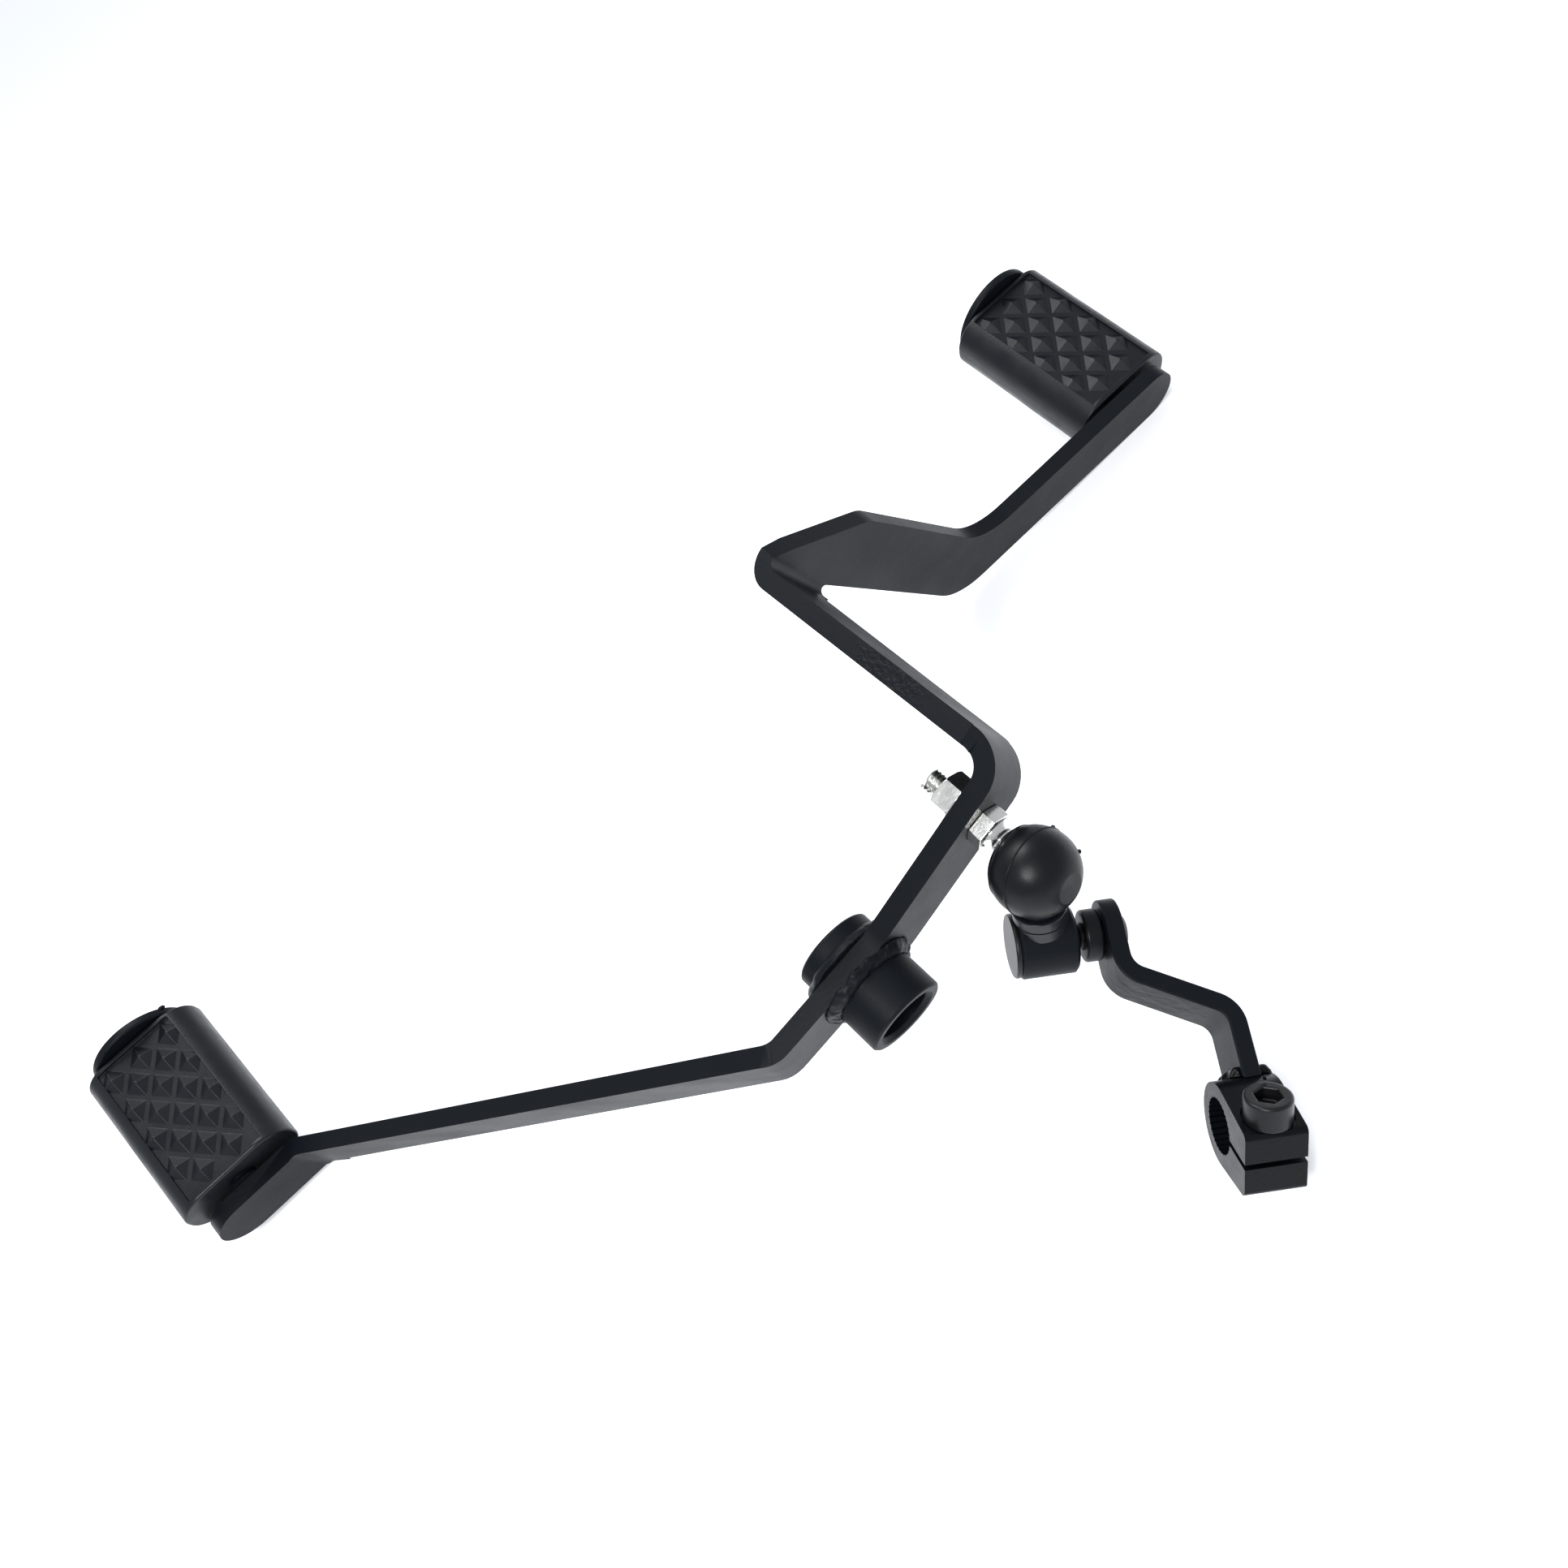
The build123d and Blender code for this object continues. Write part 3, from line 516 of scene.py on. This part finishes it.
# A white table that keeps the shadow. What the camera and a gloss see of it glows a little towards white
clear_selection()
bpy.ops.mesh.primitive_plane_add(size=TABLE_SIZE, location=(0, 0, CAD_BOX[0].z))
floor = new_piece("floor")
table = bpy.data.materials.new("white_table")
table.use_nodes = True
tree = table.node_tree
tree.nodes.clear()
ray = add(tree, "ShaderNodeLightPath")
seen = add(tree, "ShaderNodeMath", {0: (ray, "Is Camera Ray"), 1: (ray, "Is Glossy Ray")},
           operation="MAXIMUM")
glow = add(tree, "ShaderNodeMath", {0: (seen, 0)}, operation="MULTIPLY")
glow.inputs[1].default_value = TABLE_GLOW
matt = add(tree, "ShaderNodeBsdfPrincipled", {"Emission Strength": (glow, 0)}, Roughness=0.9,
           Base_Color=linear("#f3f5f9"), Specular_IOR_Level=0.1, Emission_Color=linear("#ffffff"))
add(tree, "ShaderNodeOutputMaterial", {"Surface": (matt, "BSDF")})
floor.data.materials.append(table)

# The room's even light, which the camera sees as white
world = bpy.data.worlds.new("studio")
world.use_nodes = True
tree = world.node_tree
room = tree.nodes["Background"]
room.inputs["Color"].default_value = linear("#f1f4fa")
ray = add(tree, "ShaderNodeLightPath")
strength = add(tree, "ShaderNodeMath", {0: (ray, "Is Camera Ray")}, operation="MULTIPLY_ADD")
strength.inputs[1].default_value = ROOM_GLOW
strength.inputs[2].default_value = ROOM_LIGHT
tree.links.new(strength.outputs[0], room.inputs["Strength"])
bpy.context.scene.world = world


def soft_lamp(name, place, size, power):
    """A square studio lamp that looks at the frame's origin."""
    data = bpy.data.lights.new(name, "AREA")
    data.shape = "SQUARE"
    data.size = size
    data.energy = power
    lamp = bpy.data.objects.new(name, data)
    bpy.context.scene.collection.objects.link(lamp)
    lamp.location = place
    lamp.rotation_euler = (-Vector(place)).to_track_quat("-Z", "Y").to_euler()


# The key lamp stands behind and above the object, and the front lamp brightens the pads' facets and the zinc
soft_lamp("key_lamp", place=(0.1, 0.5, 1.0), size=0.6, power=9)
soft_lamp("front_lamp", place=(-0.36, -0.41, 0.7), size=0.25, power=6)

data = bpy.data.cameras.new("camera")
data.lens = LENS
data.sensor_width = PICTURE_WIDTH
data.clip_start = NEAREST
camera = bpy.data.objects.new("camera", data)
bpy.context.scene.collection.objects.link(camera)
camera.location = CAMERA_PLACE
camera.rotation_euler = [radians(angle) for angle in CAMERA_TURN]
bpy.context.scene.camera = camera
bpy.context.scene.view_settings.view_transform = "Standard"
